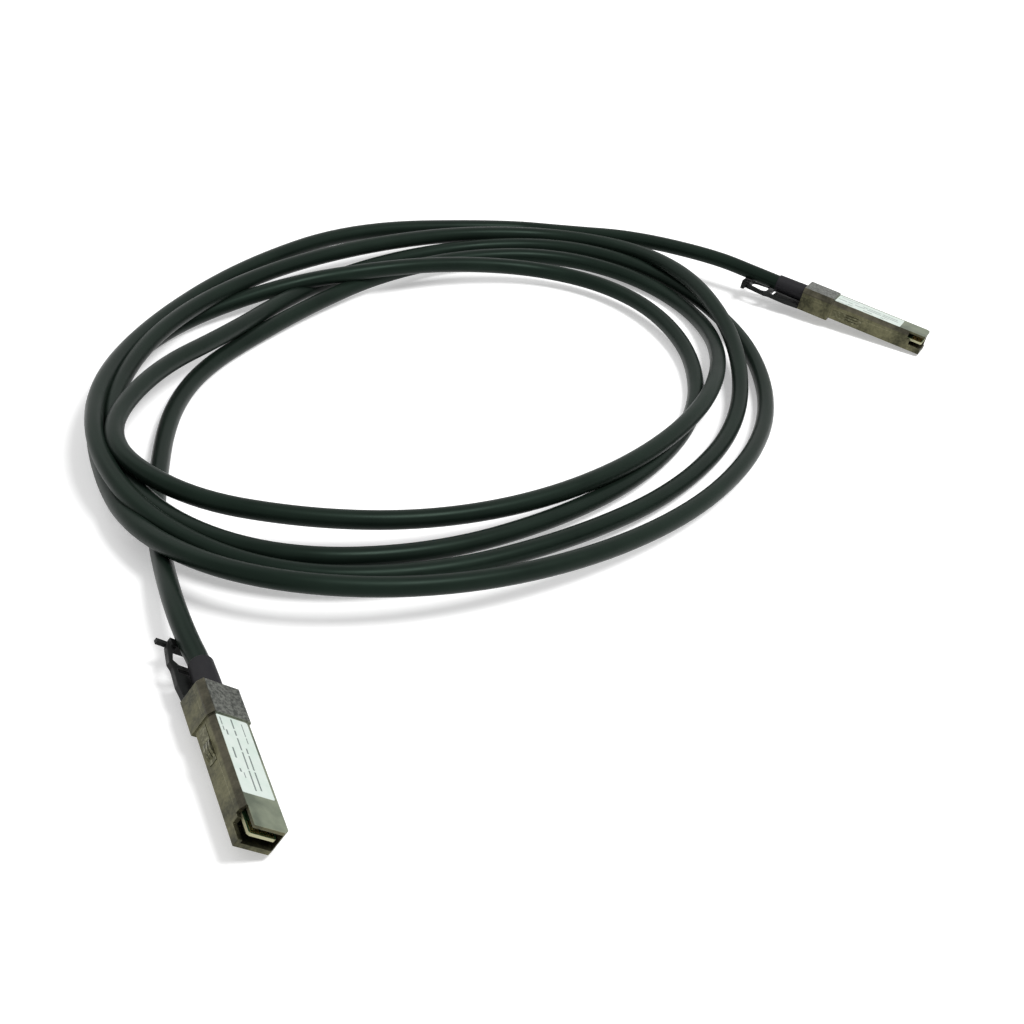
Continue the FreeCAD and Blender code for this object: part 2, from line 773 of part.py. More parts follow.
def ground_spring(end, side):
    """A thin strip in a shallow seat of the side wall, with arched fingers that touch the cage."""
    name = "ground_spring_left_" if side > 0 else "ground_spring_right_"
    strip_low = "body_width / 2" if side > 0 else "-body_width / 2 - strip_thickness"
    base = box(
        "Strip",
        ("strip_start", strip_low, "strip_base"),
        ("strip_start + strip_length", f"{strip_low} + strip_thickness", "strip_base + strip_height"),
    )
    parts = [base]
    chord = size("finger_length")
    rise = size("finger_bulge")
    thick = size("strip_thickness")
    radius = (chord * chord / 4 + rise * rise) / (2 * rise)
    face = size("body_width") / 2 + thick
    start = size("finger_start")
    for i in range(int(size("finger_count"))):
        low = size("strip_base") + size("finger_width") / 8 + i * size("finger_pitch")
        arch = Part.Face(Part.Wire([
            Part.Arc(
                Vector(start, side * face, low),
                Vector(start + chord / 2, side * (face + rise), low),
                Vector(start + chord, side * face, low),
            ).toShape(),
            Part.LineSegment(Vector(start + chord, side * face, low),
                             Vector(start + chord - thick, side * face, low)).toShape(),
            Part.Arc(
                Vector(start + chord - thick, side * face, low),
                Vector(start + chord / 2, side * (face + rise - thick), low),
                Vector(start + thick, side * face, low),
            ).toShape(),
            Part.LineSegment(Vector(start + thick, side * face, low),
                             Vector(start, side * face, low)).toShape(),
        ]))
        finger = doc.addObject("Part::Feature", "Finger")
        finger.Shape = arch.extrude(Vector(0, 0, size("finger_width")))
        parts.append(finger)
    fused = doc.addObject("Part::MultiFuse", name + end)
    fused.Label = name + end
    fused.Shapes = parts
    return fused


# ---- the plugs -------------------------------------------------------------------------------

nodes = []
places = {}
for end, near in (("a", "near"), ("b", "far")):
    pieces = [
        lower_housing(end),
        upper_cover(end),
        cover_screws(end),
        label(end),
        paddle_card(end),
        edge_contacts(end),
        memory_chip(end),
        wire_pairs(end),
        crimp_ring(end),
        boot(end),
        latch_slide(end),
        pull_tab(end),
        return_springs(end),
        ground_spring(end, 1),
        ground_spring(end, -1),
    ]
    doc.recompute()
    # the plug lies with its lowest point on the table
    turn = Rotation(size(near + "_yaw"), size(near + "_pitch"), size(near + "_roll"))
    lowest = 0.0
    for piece in pieces:
        lying = piece.Shape.copy()
        lying.Placement = Placement(Vector(), turn).multiply(lying.Placement)
        lowest = min(lowest, lying.optimalBoundingBox(False, False).ZMin)
    places[end] = Placement(Vector(size(near + "_x"), size(near + "_y"), -lowest), turn)
    for piece in pieces:
        piece.Placement = places[end].multiply(piece.Placement)
    nodes += pieces
    print("plug", end, "stands", round(-lowest, 3), "above its lowest point")

# ---- the cord --------------------------------------------------------------------------------


def rounded_path(points):
    """Straight runs joined by tangent arcs. Each arc is as large as its two runs allow."""
    edges = []
    start = points[0]
    radii = []
    for before, corner, after in zip(points, points[1:], points[2:]):
        back = before - corner
        ahead = after - corner
        turn = math.pi - back.getAngle(ahead)
        reach = 0.45 * min(back.Length, ahead.Length)
        radii.append(reach / math.tan(turn / 2))
        enter = corner + back.normalize() * reach
        leave = corner + ahead.normalize() * reach
        centre = corner + (back + ahead).normalize() * (radii[-1] / math.cos(turn / 2))
        middle = centre + (corner - centre).normalize() * radii[-1]
        edges.append(Part.LineSegment(start, enter).toShape())
        edges.append(Part.Arc(enter, middle, leave).toShape())
        start = leave
    edges.append(Part.LineSegment(start, points[-1]).toShape())
    return Part.Wire(edges), radii


def tube(points, diameter):
    """A round rod along the rounded path through the points."""
    path, radii = rounded_path(points)
    along = points[1] - points[0]
    ring = Part.Wire([Part.Circle(points[0], along, diameter / 2).toShape()])
    solid = path.makePipeShell([ring], True, False)
    return solid, path.Length, radii


def oval(name):
    """A wire round four tangent arcs on the table: its long and short reach from the middle, the
    radius of its two ends and the turn of its long axis from X."""
    reach = size(name + "_long_reach")
    rise = size(name + "_short_reach")
    tip = size(name + "_end_radius")
    flank = ((reach - tip) ** 2 + rise ** 2 - tip ** 2) / (2 * (rise - tip))
    lean = math.atan2(flank - rise, reach - tip)
    join = Vector(reach - tip + tip * math.cos(lean), tip * math.sin(lean), 0)
    marks = [
        Vector(join.x, -join.y, 0), Vector(reach, 0, 0),
        join, Vector(0, rise, 0),
        Vector(-join.x, join.y, 0), Vector(-reach, 0, 0),
        Vector(-join.x, -join.y, 0), Vector(0, -rise, 0),
        Vector(join.x, -join.y, 0),
    ]
    wire = Part.Wire([Part.Arc(*marks[i:i + 3]).toShape() for i in range(0, 8, 2)])
    wire.Placement = Placement(Vector(size(name + "_x"), size(name + "_y"), 0),
                               Rotation(Vector(0, 0, 1), size(name + "_turn")))
    return wire


def cable_coil():
    """The turns of the cord as one closed ring with bevelled edges."""
    rim = Part.Face([oval("coil"), oval("eye")])
    rim.validate()
    ring = rim.extrude(Vector(0, 0, size("coil_height")))
    edges = [edge for edge in ring.Edges if edge.BoundBox.ZLength < size("coil_bevel") / 10]
    feature = doc.addObject("Part::Feature", "cable_coil")
    feature.Label = "cable_coil"
    feature.Shape = ring.makeChamfer(size("coil_bevel"), edges)
    return feature


def cable_tail(end, stops):
    """The cord from the crimp ring to the coil. The stops are where the route turns, after its
    straight run out of the boot."""
    start = places[end].multVec(Vector(size(RING_BACK), 0, size("cord_height")))
    away = places[end].multVec(Vector(size(RING_BACK) - size("straight_run"), 0, size("cord_height")))
    solid, length, radii = tube([start, away] + [Vector(*stop) for stop in stops], size("cord_diameter"))
    section = math.pi * size("cord_diameter") ** 2 / 4
    print("tail", end, "length", round(length, 1), "radii", [round(radius) for radius in radii],
          "volume over section times length", round(solid.Volume / (section * length), 4))
    feature = doc.addObject("Part::Feature", "cable_tail_" + end)
    feature.Label = "cable_tail_" + end
    feature.Shape = solid
    return feature


TAIL_STOPS = {
    "a": [(-162, -43, 4.5)],
    "b": [(-22, 234, 9.0), (-74, 228, 5.0)],
}
nodes.append(cable_coil())
for end, stops in TAIL_STOPS.items():
    nodes.append(cable_tail(end, stops))

# ---- checks and files ------------------------------------------------------------------------

doc.recompute()
for item in doc.Objects:
    if "Invalid" in item.State or "Error" in item.State:
        raise RuntimeError(f"{item.Label} did not recompute: {item.State}")
os.makedirs("parts", exist_ok=True)
for node in nodes:
    shape = node.Shape
    if shape.isNull() or not shape.isValid():
        raise RuntimeError(f"{node.Label} has no valid shape")
    shape.exportStep(f"parts/{node.Label}.step")
    print(node.Label, "solids", len(shape.Solids), "volume", round(shape.Volume, 2))
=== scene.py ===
import math

import bmesh
import bpy
from mathutils import Matrix, Vector


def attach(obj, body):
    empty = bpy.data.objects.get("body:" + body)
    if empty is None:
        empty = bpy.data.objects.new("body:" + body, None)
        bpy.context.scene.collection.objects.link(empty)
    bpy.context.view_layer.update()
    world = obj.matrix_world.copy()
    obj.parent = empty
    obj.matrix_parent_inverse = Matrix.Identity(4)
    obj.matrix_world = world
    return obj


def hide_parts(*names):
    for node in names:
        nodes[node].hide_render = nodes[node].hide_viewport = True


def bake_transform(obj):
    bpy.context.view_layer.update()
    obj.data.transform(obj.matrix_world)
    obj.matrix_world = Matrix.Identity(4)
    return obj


# A direct attach copper cable: two die-cast SFP+ plugs and the coiled twinax cord between them.
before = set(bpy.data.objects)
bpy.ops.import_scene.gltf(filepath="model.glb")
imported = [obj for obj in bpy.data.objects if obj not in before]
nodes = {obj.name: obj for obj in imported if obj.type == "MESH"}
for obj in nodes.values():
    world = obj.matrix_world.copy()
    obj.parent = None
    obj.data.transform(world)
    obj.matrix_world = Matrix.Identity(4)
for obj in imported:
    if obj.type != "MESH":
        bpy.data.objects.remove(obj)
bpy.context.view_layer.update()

# ---------------------------------------------------------------------------------------------
# Camera. It stands above the near side of the coil and looks down at it by 33 degrees, leaning
# a little to one side, with a normal lens.
# ---------------------------------------------------------------------------------------------
LOOK_DOWN = math.radians(33.0)
LEAN = math.radians(8.0)
CAMERA_STAND = (-0.0384, -0.5058, 0.3185)
LENS_MM = 56.25
SENSOR_MM = 36.0

view_line = Vector((0.0, math.cos(LOOK_DOWN), -math.sin(LOOK_DOWN)))
level_side = Vector((1.0, 0.0, 0.0))
level_up = level_side.cross(view_line)
camera_side = level_side * math.cos(LEAN) + level_up * math.sin(LEAN)
camera_up = level_up * math.cos(LEAN) - level_side * math.sin(LEAN)
camera = bpy.data.objects.new("camera", bpy.data.cameras.new("camera"))
camera.data.lens = LENS_MM
camera.data.sensor_width = SENSOR_MM
camera.data.clip_end = 20.0
camera.matrix_world = Matrix((
    (camera_side.x, camera_up.x, -view_line.x, CAMERA_STAND[0]),
    (camera_side.y, camera_up.y, -view_line.y, CAMERA_STAND[1]),
    (camera_side.z, camera_up.z, -view_line.z, CAMERA_STAND[2]),
    (0.0, 0.0, 0.0, 1.0),
))
bpy.context.scene.collection.objects.link(camera)
bpy.context.scene.camera = camera

# ---------------------------------------------------------------------------------------------
# Cord. Round twinax lead, 7 mm over its jacket of black PVC, pressed hot round the braid, which
# leaves it smooth and faintly grained. Each end is crimped into a plug; between them it is wound
# by hand into about four and a half loose turns that cross and lie on each other.
# ---------------------------------------------------------------------------------------------
CORD_DIAMETER = 0.007
COIL_MIDDLE = Vector((-0.071, 0.072))
COIL_TURNED = math.radians(62.0)
COIL_SQUEEZE = 0.69
FIRST_SPOKE = math.radians(154.0)
SPOKE_STEP = math.radians(-45.0)
TAIL_SPOKE = 1  # the near tail ends just past this spoke, and the spokes' points go on from there
# How far out and how high the cord crosses each spoke in turn, in metres.
SPOKE_REACH = [
    0.148, 0.117, 0.122, 0.139, 0.149, 0.145, 0.136, 0.140,
    0.165, 0.125, 0.144, 0.153, 0.157, 0.182, 0.184, 0.187,
    0.165, 0.171, 0.112, 0.119, 0.125, 0.140, 0.144, 0.163,
    0.161, 0.160, 0.151, 0.166, 0.151, 0.165, 0.162, 0.171,
    0.168, 0.169, 0.175,
]
SPOKE_HEIGHT = [
    0.0055, 0.0035, 0.0065, 0.0065, 0.0035, 0.0110, 0.0115, 0.0145,
    0.0190, 0.0100, 0.0035, 0.0065, 0.0065, 0.0035, 0.0100, 0.0185,
    0.0060, 0.0035, 0.0135, 0.0070, 0.0070, 0.0035, 0.0065, 0.0120,
    0.0115, 0.0120, 0.0110, 0.0065, 0.0160, 0.0035, 0.0070, 0.0105,
    0.0170, 0.0095, 0.0110,
]
# The cord's points between the near plug and the coil, then between the coil and the far plug.
NEAR_TAIL = [
    (-0.1185, -0.1484, 0.0097),
    (-0.1240, -0.1372, 0.0099),
    (-0.1300, -0.1282, 0.0108),
    (-0.1384, -0.1125, 0.0115),
    (-0.1480, -0.0887, 0.0082),
    (-0.1555, -0.0679, 0.0060),
    (-0.1615, -0.0480, 0.0039),
    (-0.1671, -0.0195, 0.0035),
    (-0.1702, -0.0010, 0.0035),
    (-0.1718, 0.0190, 0.0035),
    (-0.1705, 0.0395, 0.0035),
    (-0.1658, 0.0590, 0.0035),
    (-0.1574, 0.0795, 0.0036),
]
FAR_TAIL = [
    (-0.0640, 0.2315, 0.0050),
    (-0.0300, 0.2310, 0.0070),
    (0.0020, 0.2255, 0.0115),
    (0.0398, 0.2076, 0.0152),
    (0.0601, 0.1994, 0.0130),
    (0.0822, 0.1903, 0.0107),
]


def between(values, place):
    """A smooth value at a place between four neighbours of a list."""
    first = int(place)
    part = place - first
    a = values[max(first - 1, 0)]
    b = values[first]
    c = values[min(first + 1, len(values) - 1)]
    d = values[min(first + 2, len(values) - 1)]
    slope = (c - a) + part * (2 * a - 5 * b + 4 * c - d + part * (3 * b - a - 3 * c + d))
    return b + 0.5 * part * slope


def coil_point(place):
    """Where the cord crosses a spoke of the coil; a place of 1.5 is between two spokes."""
    spoke = FIRST_SPOKE + SPOKE_STEP * place
    reach = between(SPOKE_REACH, place)
    along = reach * math.cos(spoke)
    across = reach * COIL_SQUEEZE * math.sin(spoke)
    x = COIL_MIDDLE.x + along * math.cos(COIL_TURNED) - across * math.sin(COIL_TURNED)
    y = COIL_MIDDLE.y + along * math.sin(COIL_TURNED) + across * math.cos(COIL_TURNED)
    z = max(between(SPOKE_HEIGHT, place), CORD_DIAMETER / 2)
    return (x, y, z)


# From the near plug, through the coil by a point on each spoke and one between, to the far plug.
route = list(NEAR_TAIL)
for half_spoke in range(2 * TAIL_SPOKE + 1, 2 * len(SPOKE_REACH) - 1):
    route.append(coil_point(half_spoke / 2))
route.extend(FAR_TAIL)

cord_curve = bpy.data.curves.new("cord", "CURVE")
cord_curve.dimensions = "3D"
cord_curve.bevel_depth = CORD_DIAMETER / 2
cord_curve.bevel_resolution = 6
cord_curve.resolution_u = 10
cord_spline = cord_curve.splines.new("NURBS")
cord_spline.points.add(len(route) - 1)
for point, place in zip(cord_spline.points, route):
    point.co = (*place, 1.0)
cord_spline.order_u = 3
cord_spline.use_endpoint_u = True
cord_spline.use_smooth = True
cord = bpy.data.objects.new("cord", cord_curve)
bpy.context.scene.collection.objects.link(cord)


def linear(code):
    """A hex sRGB colour as the linear one that the shaders take."""
    parts = []
    for start in (1, 3, 5):
        value = int(code[start:start + 2], 16) / 255
        parts.append(value / 12.92 if value <= 0.04045 else ((value + 0.055) / 1.055) ** 2.4)
    return (*parts, 1.0)


def add(tree, kind, values):
    """Add a node with its properties, input values and links, which are all given by name."""
    made = tree.nodes.new(kind)
    for name, value in values.items():
        if isinstance(name, str) and hasattr(made, name):
            setattr(made, name, value)
        elif isinstance(value, bpy.types.NodeSocket):
            tree.links.new(value, made.inputs[name])
        else:
            made.inputs[name].default_value = value
    return made


def new_material(name):
    """An empty material with its node tree and the coordinates of the piece, in metres."""
    material = bpy.data.materials.new(name)
    material.use_nodes = True
    material.node_tree.nodes.clear()
    place = add(material.node_tree, "ShaderNodeTexCoord", {}).outputs["Object"]
    return material, material.node_tree, place


def dress(name, material):
    """Give a CAD piece its material."""
    materials = nodes[name].data.materials
    materials.clear()
    materials.append(material)


# Extruded PVC: near black with a cold green cast, an even satin, a grain of 0.7 mm, and dull
# patches of 20 mm where hands have rubbed it.
jacket_pvc, tree, place = new_material("extruded_pvc_jacket")
patches = add(tree, "ShaderNodeTexNoise", {"Vector": place, "Scale": 45.0, "Detail": 3.0})
grain = add(tree, "ShaderNodeTexNoise", {"Vector": place, "Scale": 1400.0, "Detail": 2.0})
colour = add(tree, "ShaderNodeMix", {
    "data_type": "RGBA", 0: patches.outputs["Fac"],
    6: linear("#0b110e"), 7: linear("#18221c"),
})
dullness = add(tree, "ShaderNodeMapRange", {
    0: patches.outputs["Fac"], 1: 0.3, 2: 0.7, 3: 0.3, 4: 0.44,
})
bump = add(tree, "ShaderNodeBump", {
    "Height": grain.outputs["Fac"], "Strength": 0.25, "Distance": 0.00006,
})
shader = add(tree, "ShaderNodeBsdfPrincipled", {
    "Base Color": colour.outputs[2], "Roughness": dullness.outputs[0],
    "Specular IOR Level": 0.12, "Specular Tint": linear("#b9dcc8"),
    "Normal": bump.outputs["Normal"],
})
add(tree, "ShaderNodeOutputMaterial", {"Surface": shader.outputs[0]})
cord_curve.materials.append(jacket_pvc)
for name in ("cable_coil", "cable_tail_a", "cable_tail_b"):
    dress(name, jacket_pvc)
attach(cord, "root")
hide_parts("cable_coil", "cable_tail_a", "cable_tail_b")

# ---------------------------------------------------------------------------------------------
# Housings and covers. Each plug's two half shells are zinc alloy, cast in a steel die and plated
# with dull nickel. The cover lies on the tray and two screws from below hold it.
# ---------------------------------------------------------------------------------------------
# Where each plug's own frame stands, in metres, and its roll, pitch and yaw, in degrees.
PLUG_STANDS = {
    "a": ((-0.11356, -0.16372, 0.005851), (-32.37, 1.0, -63.91)),
    "b": ((0.0964, 0.1839, 0.004953), (-7.0, 5.5, -22.35)),
}
# Where the casting's tones change in that frame, the painted light on the top and the painted dark
# reflection on the bevel among them: each fades in from the first place to the second.
TOP_FADE = (0.00835, 0.00845)
HEAD_FADE = (0.0002, -0.0002)
BEVEL_SIDE_FADE = (-0.0053, -0.0056)
BEVEL_BASE_FADE = (0.0062, 0.0067)


def in_plug(tree, place, end):
    """The coordinates in a plug's own frame: x to its nose, y to its left and z up, in metres."""
    stand, turned = PLUG_STANDS[end]
    return add(tree, "ShaderNodeMapping", {
        "vector_type": "TEXTURE", "Vector": place, "Location": stand,
        "Rotation": [math.radians(angle) for angle in turned],
    }).outputs[0]


# Plated zinc casting: a warm olive grey metal with cloudy tones 9 mm across, specks of 1.2 mm and
# a cast skin of 0.4 mm. Its top face is painted lighter as lit, its sides darker as shaded.
# The head is rougher and blotched on top, the steep bevel of the cover has a painted dark
# reflection, and the edges have rubbed bright against cages.
for end in PLUG_STANDS:
    cast_zinc, tree, place = new_material("nickel_plated_zinc_casting_" + end)
    place = in_plug(tree, place, end)
    along, across, up = add(tree, "ShaderNodeSeparateXYZ", {"Vector": place}).outputs
    clouds = add(tree, "ShaderNodeTexNoise", {"Vector": place, "Scale": 110.0, "Detail": 5.0})
    blotches = add(tree, "ShaderNodeTexNoise", {
        "Vector": place, "Scale": 800.0, "Detail": 3.0, "Roughness": 0.65,
    })
    skin = add(tree, "ShaderNodeTexNoise", {"Vector": place, "Scale": 2600.0, "Detail": 3.0})
    mottle = add(tree, "ShaderNodeMapRange", {0: clouds.outputs["Fac"], 1: 0.4, 2: 0.6})
    spots = add(tree, "ShaderNodeMapRange", {0: blotches.outputs["Fac"], 1: 0.4, 2: 0.62})
    speckle = add(tree, "ShaderNodeMix", {
        "data_type": "FLOAT", 0: 0.3, 2: mottle.outputs[0], 3: spots.outputs[0],
    })
    # Painted shade: the sides take a darker copy of the casting's tone than the top face.
    shaded_side_tone = add(tree, "ShaderNodeMix", {
        "data_type": "RGBA", 0: speckle.outputs[0],
        6: linear("#37372b"), 7: linear("#68664f"),
    })
    # Painted dark reflection: the cover's long bevel takes a darker copy of the casting's tone.
    painted_reflection_bevel_tone = add(tree, "ShaderNodeMix", {
        "data_type": "RGBA", 0: speckle.outputs[0],
        6: linear("#33322a"), 7: linear("#504d41"),
    })
    # Painted light: the top face takes a lighter copy of the same casting's tone.
    lit_top_tone = add(tree, "ShaderNodeMix", {
        "data_type": "RGBA", 0: mottle.outputs[0],
        6: linear("#666e5f"), 7: linear("#848b79"),
    })
    head_tone = add(tree, "ShaderNodeMix", {
        "data_type": "RGBA", 0: spots.outputs[0],
        6: linear("#4c4e4a"), 7: linear("#7c7e78"),
    })
    is_top = add(tree, "ShaderNodeMapRange", {0: up, 1: TOP_FADE[0], 2: TOP_FADE[1]})
    is_head = add(tree, "ShaderNodeMapRange", {0: along, 1: HEAD_FADE[0], 2: HEAD_FADE[1]})
    is_head_top = add(tree, "ShaderNodeMath", {
        "operation": "MULTIPLY", 0: is_head.outputs[0], 1: is_top.outputs[0],
    })
    is_edge_side = add(tree, "ShaderNodeMapRange", {
        0: across, 1: BEVEL_SIDE_FADE[0], 2: BEVEL_SIDE_FADE[1],
    })
    is_above_wall = add(tree, "ShaderNodeMapRange", {
        0: up, 1: BEVEL_BASE_FADE[0], 2: BEVEL_BASE_FADE[1],
    })
    is_painted_reflection_bevel = add(tree, "ShaderNodeMath", {
        "operation": "MULTIPLY", 0: is_edge_side.outputs[0], 1: is_above_wall.outputs[0],
    })
    # Painted light and shade: the lit top tone goes on the top face, the shaded tone on the sides.
    tone = add(tree, "ShaderNodeMix", {
        "data_type": "RGBA", 0: is_top.outputs[0], 6: shaded_side_tone.outputs[2], 7: lit_top_tone.outputs[2],
    })
    tone = add(tree, "ShaderNodeMix", {
        "data_type": "RGBA", 0: is_head_top.outputs[0],
        6: tone.outputs[2], 7: head_tone.outputs[2],
    })
    # The painted dark reflection goes on the long bevel along the cover's -y edge.
    tone = add(tree, "ShaderNodeMix", {
        "data_type": "RGBA", 0: is_painted_reflection_bevel.outputs[0],
        6: tone.outputs[2], 7: painted_reflection_bevel_tone.outputs[2],
    })
    rounded = add(tree, "ShaderNodeBevel", {"samples": 6, "Radius": 0.00018})
    facing = add(tree, "ShaderNodeNewGeometry", {})
    alike = add(tree, "ShaderNodeVectorMath", {
        "operation": "DOT_PRODUCT", 0: rounded.outputs[0], 1: facing.outputs["Normal"],
    })
    rubbed = add(tree, "ShaderNodeMapRange", {0: alike.outputs["Value"], 1: 0.97, 2: 0.8})
    rubbed = add(tree, "ShaderNodeMath", {
        "operation": "MULTIPLY", 0: rubbed.outputs[0], 1: mottle.outputs[0],
    })
    tone = add(tree, "ShaderNodeMix", {
        "data_type": "RGBA", 0: rubbed.outputs[0], 6: tone.outputs[2], 7: linear("#86846e"),
    })
    dullness = add(tree, "ShaderNodeMapRange", {
        0: clouds.outputs["Fac"], 1: 0.3, 2: 0.7, 3: 0.4, 4: 0.58,
    })
    coarse = add(tree, "ShaderNodeMapRange", {0: is_head.outputs[0], 3: 0.35, 4: 0.7})
    bump = add(tree, "ShaderNodeBump", {
        "Height": skin.outputs["Fac"], "Strength": coarse.outputs[0], "Distance": 0.00006,
        "Normal": rounded.outputs[0],
    })
    shader = add(tree, "ShaderNodeBsdfPrincipled", {
        "Base Color": tone.outputs[2], "Metallic": 1.0, "Roughness": dullness.outputs[0],
        "Normal": bump.outputs["Normal"],
    })
    add(tree, "ShaderNodeOutputMaterial", {"Surface": shader.outputs[0]})
    dress("lower_housing_" + end, cast_zinc)
    dress("upper_cover_" + end, cast_zinc)

# ---------------------------------------------------------------------------------------------
# Cover screws. Two pan-head screws a plug, cold-headed steel with a cross slot, driven from below
# through the tray and the card into the cover.
# ---------------------------------------------------------------------------------------------
# Zinc-plated steel: a bright grey with a faint cool cast and smears of 2 mm where drivers slipped.
screw_steel, tree, place = new_material("zinc_plated_screw_steel")
smears = add(tree, "ShaderNodeTexNoise", {"Vector": place, "Scale": 500.0, "Detail": 3.0})
colour = add(tree, "ShaderNodeMix", {
    "data_type": "RGBA", 0: smears.outputs["Fac"], 6: linear("#85868a"), 7: linear("#b0b1b0"),
})
dullness = add(tree, "ShaderNodeMapRange", {
    0: smears.outputs["Fac"], 1: 0.3, 2: 0.7, 3: 0.25, 4: 0.45,
})
shader = add(tree, "ShaderNodeBsdfPrincipled", {
    "Base Color": colour.outputs[2], "Metallic": 1.0, "Roughness": dullness.outputs[0],
})
add(tree, "ShaderNodeOutputMaterial", {"Surface": shader.outputs[0]})
for end in PLUG_STANDS:
    dress("cover_screws_" + end, screw_steel)

# ---------------------------------------------------------------------------------------------
# Label. A die-cut polyester foil with round corners, stuck in the cover's recess. It is printed
# with generic broken bars that run along it and say nothing.
# ---------------------------------------------------------------------------------------------
LABEL_ENDS = (0.00047, 0.03253)
LABEL_HALF_WIDTH = 0.00543
LABEL_CORNER = 0.0006
LABEL_FACES = (0.00831, 0.00848)
INK_FACE = 0.008495
# Each printed row's middle line and width, and where its bars start and stop along the label.
PRINTED_ROWS = [
    (-0.0043, 0.00035, ((0.0015, 0.0048), (0.0054, 0.0072))),
    (-0.0034, 0.00055, ((0.0066, 0.0088), (0.0140, 0.0183), (0.0226, 0.0240))),
    (-0.0025, 0.00030, ((0.0240, 0.0262),)),
    (-0.0004, 0.00050, ((0.0012, 0.0052), (0.0060, 0.0081), (0.0092, 0.0142), (0.0150, 0.0220),
                        (0.0226, 0.0306))),
    (0.0016, 0.00050, ((0.0128, 0.0150), (0.0158, 0.0218), (0.0225, 0.0300))),
    (0.0030, 0.00030, ((0.0020, 0.0074), (0.0080, 0.0104))),
]

# Printed polyester: a matt white with a cold green cast, hardly waved over 3 mm by its glue.
foil, tree, place = new_material("printed_polyester_foil")
waves = add(tree, "ShaderNodeTexNoise", {"Vector": place, "Scale": 330.0, "Detail": 2.0})
colour = add(tree, "ShaderNodeMix", {
    "data_type": "RGBA", 0: waves.outputs["Fac"], 6: linear("#b2c2b8"), 7: linear("#c8cdc9"),
})
bump = add(tree, "ShaderNodeBump", {
    "Height": waves.outputs["Fac"], "Strength": 0.5, "Distance": 0.00004,
})
shader = add(tree, "ShaderNodeBsdfPrincipled", {
    "Base Color": colour.outputs[2], "Roughness": 0.42, "Normal": bump.outputs["Normal"],
})
add(tree, "ShaderNodeOutputMaterial", {"Surface": shader.outputs[0]})

# Thermal ink: a worn dark grey, uneven over 0.3 mm.
ink, tree, place = new_material("thermal_transfer_ink")
wear = add(tree, "ShaderNodeTexNoise", {"Vector": place, "Scale": 3300.0, "Detail": 2.0})
colour = add(tree, "ShaderNodeMix", {
    "data_type": "RGBA", 0: wear.outputs["Fac"], 6: linear("#454d4a"), 7: linear("#7b8582"),
})
shader = add(tree, "ShaderNodeBsdfPrincipled", {"Base Color": colour.outputs[2], "Roughness": 0.55})
add(tree, "ShaderNodeOutputMaterial", {"Surface": shader.outputs[0]})


def prism(shape, outline, low, high, slot):
    """Add a closed upright prism over an outline that runs anticlockwise."""
    floor_ring = [shape.verts.new((x, y, low)) for x, y in outline]
    roof_ring = [shape.verts.new((x, y, high)) for x, y in outline]
    faces = [shape.faces.new(roof_ring), shape.faces.new(list(reversed(floor_ring)))]
    for i in range(len(outline)):
        after = (i + 1) % len(outline)
        faces.append(shape.faces.new((
            floor_ring[i], floor_ring[after], roof_ring[after], roof_ring[i],
        )))
    for face in faces:
        face.material_index = slot


def plug_matrix(end):
    """Where a plug stands in the row's frame."""
    stand, (roll, pitch, yaw) = PLUG_STANDS[end]
    return (
        Matrix.Translation(stand)
        @ Matrix.Rotation(math.radians(yaw), 4, "Z")
        @ Matrix.Rotation(math.radians(pitch), 4, "Y")
        @ Matrix.Rotation(math.radians(roll), 4, "X")
    )


for end in PLUG_STANDS:
    shape = bmesh.new()
    outline = []
    for quarter, (x, y) in enumerate((
        (LABEL_ENDS[1], LABEL_HALF_WIDTH), (LABEL_ENDS[0], LABEL_HALF_WIDTH),
        (LABEL_ENDS[0], -LABEL_HALF_WIDTH), (LABEL_ENDS[1], -LABEL_HALF_WIDTH),
    )):
        x -= math.copysign(LABEL_CORNER, x - LABEL_ENDS[0] - LABEL_CORNER)
        y -= math.copysign(LABEL_CORNER, y)
        for step in range(5):
            angle = (quarter + step / 4) * math.pi / 2
            outline.append((x + LABEL_CORNER * math.cos(angle), y + LABEL_CORNER * math.sin(angle)))
    prism(shape, outline, *LABEL_FACES, 0)
    for middle, width, bars in PRINTED_ROWS:
        for start, stop in bars:
            low, high = middle - width / 2, middle + width / 2
            prism(shape, [(start, low), (stop, low), (stop, high), (start, high)],
                  LABEL_FACES[1], INK_FACE, 1)
    shape.transform(plug_matrix(end))
    printed = bpy.data.meshes.new("printed_label_" + end)
    shape.to_mesh(printed)
    shape.free()
    printed.materials.append(foil)
    printed.materials.append(ink)
    printed_label = bpy.data.objects.new("printed_label_" + end, printed)
    bpy.context.scene.collection.objects.link(printed_label)
    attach(printed_label, "root")
    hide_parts("label_" + end)

